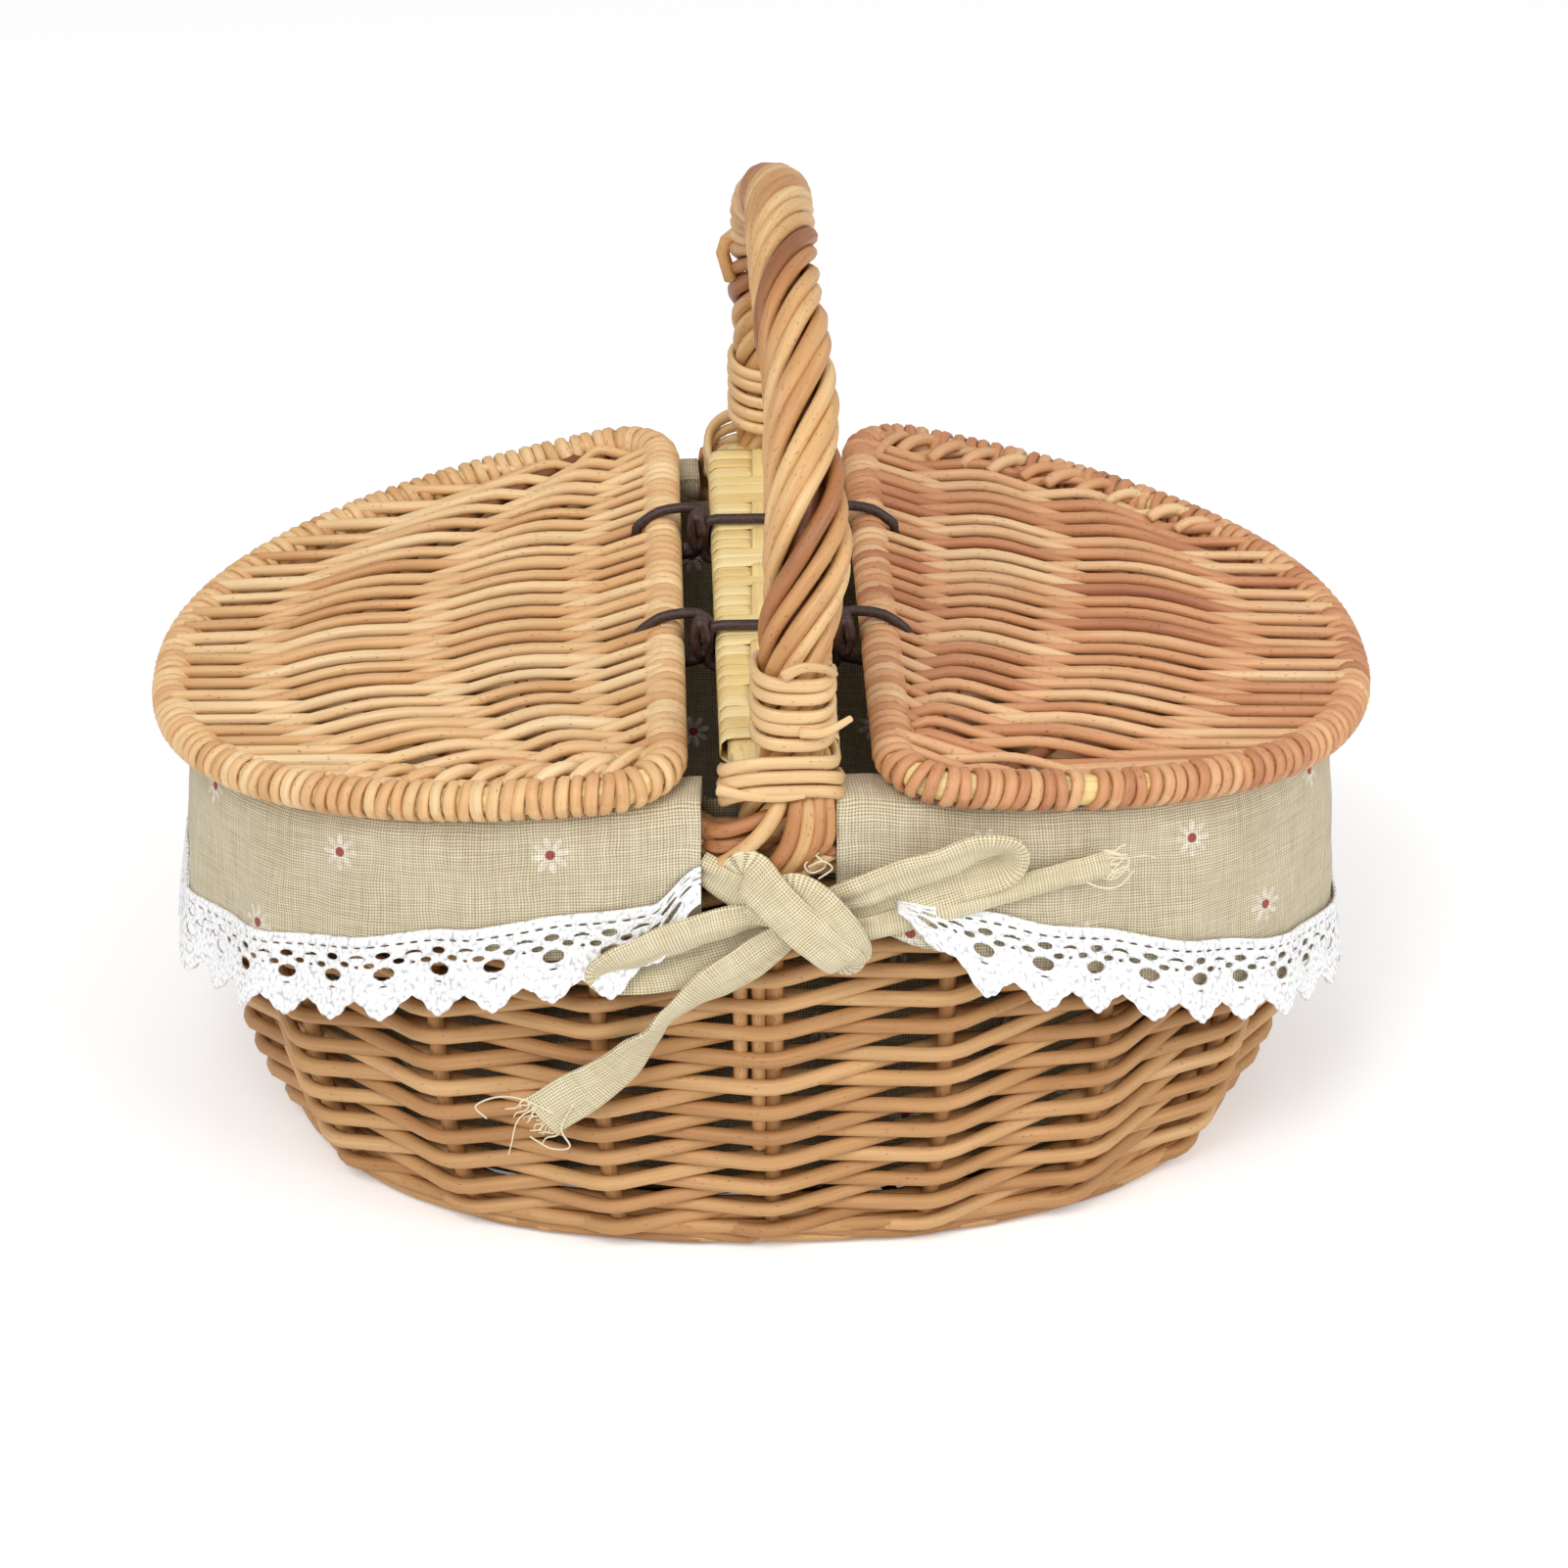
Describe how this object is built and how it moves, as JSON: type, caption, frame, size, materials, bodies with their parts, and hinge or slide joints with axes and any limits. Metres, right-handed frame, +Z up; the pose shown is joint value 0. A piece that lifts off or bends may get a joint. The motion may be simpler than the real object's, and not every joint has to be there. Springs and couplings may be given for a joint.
{
  "type": "picnic hamper",
  "caption": "Oval woven willow picnic hamper with hinged lids on a cross bar, a rope handle and a lace-edged linen liner tied with bows.",
  "frame": {"origin": "centre of the base's underside", "axes": "+Z up, +X to the right along the hamper's length, -Y to the front, which shows the bow"},
  "size_m": [0.3856, 0.2822, 0.305],
  "materials": {
    "willow_light": "satin, peeled and varnished willow",
    "willow_brown": "dry matte willow",
    "willow_dark": "dry matte willow",
    "pale_chip": "pale split straw-coloured willow",
    "linen": "plain-woven unbleached linen with small printed daisies",
    "lace": "white cotton lace",
    "leather": "dark brown waxed thong"
  },
  "bodies": {
    "hamper": {"base_weave": "willow_brown", "foot_wale": "willow_brown", "side_weave": "willow_brown", "rim_border": "willow_brown", "base_sticks": "willow_dark", "handle_core": "willow_dark", "bar_core": "willow_dark", "side_stake_01": "willow_dark", "side_stake_02": "willow_dark", "side_stake_03": "willow_dark", "side_stake_04": "willow_dark", "side_stake_05": "willow_dark", "side_stake_06": "willow_dark", "side_stake_07": "willow_dark", "side_stake_08": "willow_dark", "side_stake_09": "willow_dark", "side_stake_10": "willow_dark", "side_stake_11": "willow_dark", "side_stake_12": "willow_dark", "side_stake_13": "willow_dark", "side_stake_14": "willow_dark", "side_stake_15": "willow_dark", "side_stake_16": "willow_dark", "handle_rope": "willow_light", "collar_front": "willow_light", "collar_back": "willow_light", "bar_wrap": "pale_chip", "bar_thong_front": "leather", "bar_thong_back": "leather", "liner_bag": "linen", "skirt_left": "linen", "skirt_right": "linen", "lace_left": "lace", "lace_right": "lace", "front_bow_knot": "linen", "front_bow_left": "linen", "front_bow_right": "linen", "back_bow_knot": "linen", "back_bow_left": "linen", "back_bow_right": "linen"},
    "left_lid": {"left_lid_weave": "willow_light", "left_lid_frame": "pale_chip", "left_lid_rib_1": "willow_brown", "left_lid_rib_2": "willow_brown", "left_lid_thong_front": "leather", "left_lid_thong_back": "leather"},
    "right_lid": {"right_lid_weave": "willow_light", "right_lid_frame": "pale_chip", "right_lid_rib_1": "willow_brown", "right_lid_rib_2": "willow_brown", "right_lid_thong_front": "leather", "right_lid_thong_back": "leather"}
  },
  "joints": [
    {"name": "left_lid_hinge", "type": "hinge", "parent": "hamper", "child": "left_lid", "pos_m": [-0.0215, 0, 0.1763], "axis": [0, 1, 0], "range_deg": [0, 103]},
    {"name": "right_lid_hinge", "type": "hinge", "parent": "hamper", "child": "right_lid", "pos_m": [0.0265, 0, 0.1763], "axis": [0, -1, 0], "range_deg": [0, 101]}
  ]
}
